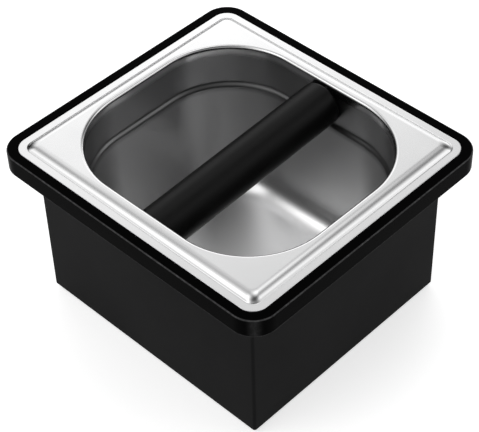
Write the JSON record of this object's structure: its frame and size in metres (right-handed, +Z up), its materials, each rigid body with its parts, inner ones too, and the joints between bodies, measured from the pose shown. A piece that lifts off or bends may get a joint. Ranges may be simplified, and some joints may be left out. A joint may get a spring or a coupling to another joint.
{
  "type": "espresso knock box",
  "caption": "Counter-top knock box: black plastic box with a flanged rim, a drop-in stainless pan and a rubber-covered bar across it for knocking out spent coffee pucks.",
  "frame": {"origin": "centre of the footprint, on the surface that the feet stand on", "axes": "+Z up; +X along the knock bar, towards its higher end; +Y along the longer side of the pan and rim; the front is -Y"},
  "size_m": [0.1738, 0.1884, 0.1077],
  "materials": {
    "housing_plastic": "fine satin moulded ABS",
    "pan_steel": "satin drawn stainless sheet",
    "core_steel": "turned rod",
    "sleeve_rubber": "matte",
    "screw_steel": "machined",
    "seal_rubber": "matte",
    "foot_rubber": "matte"
  },
  "bodies": {
    "housing": {"outer_housing": "housing_plastic", "foot_front_left": "foot_rubber", "foot_front_right": "foot_rubber", "foot_back_left": "foot_rubber", "foot_back_right": "foot_rubber"},
    "pan": {"steel_pan": "pan_steel", "bar_core": "core_steel", "bar_screw_left": "screw_steel", "bar_screw_right": "screw_steel", "bar_seal_left": "seal_rubber", "bar_seal_right": "seal_rubber"},
    "sleeve": {"bar_sleeve": "sleeve_rubber"}
  },
  "joints": [
    {"name": "pan_lift", "type": "slide", "parent": "housing", "child": "pan", "axis": [0, 0, 1], "range_m": [0, 0.12]},
    {"name": "sleeve_spin", "type": "hinge", "parent": "pan", "child": "sleeve", "pos_m": [0, 0, 0.0911], "axis": [0.9986, 0, 0.0532], "continuous": true}
  ]
}
